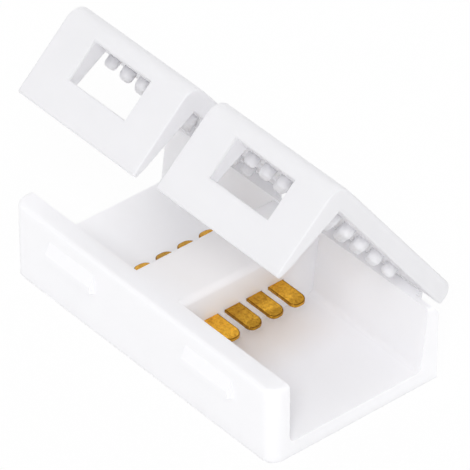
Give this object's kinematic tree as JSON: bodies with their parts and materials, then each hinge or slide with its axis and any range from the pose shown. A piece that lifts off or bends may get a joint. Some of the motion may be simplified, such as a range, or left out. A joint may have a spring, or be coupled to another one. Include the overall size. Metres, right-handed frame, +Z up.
{
  "type": "led strip connector",
  "caption": "Solderless clip that joins two LED strips end to end: an open tray with flat spring contacts through a middle bridge, and a hinged snap-down lid over each strip end.",
  "frame": {"origin": "centre of the tray's flat underside", "axes": "+X along the strips towards the near lid, +Y from the latch wall towards the hinge wall, +Z up"},
  "size_m": [0.0244, 0.0144, 0.0178],
  "materials": {
    "milky_plastic": "satin milky translucent",
    "gold_plate": "thin gold plating"
  },
  "bodies": {
    "tray": {"tray": "milky_plastic", "contact_strip_1": "gold_plate", "contact_strip_2": "gold_plate", "contact_strip_3": "gold_plate", "contact_strip_4": "gold_plate"},
    "near_lid": {"near_lid": "milky_plastic"},
    "far_lid": {"far_lid": "milky_plastic"}
  },
  "joints": [
    {"name": "near_lid_hinge", "type": "hinge", "parent": "tray", "child": "near_lid", "pos_m": [0.00645, 0.0064, 0.00545], "axis": [-1, 0, 0], "range_deg": [-53.7, 42.8]},
    {"name": "far_lid_hinge", "type": "hinge", "parent": "tray", "child": "far_lid", "pos_m": [-0.00645, 0.0064, 0.00545], "axis": [-1, 0, 0], "range_deg": [-52.8, 43.7]}
  ]
}
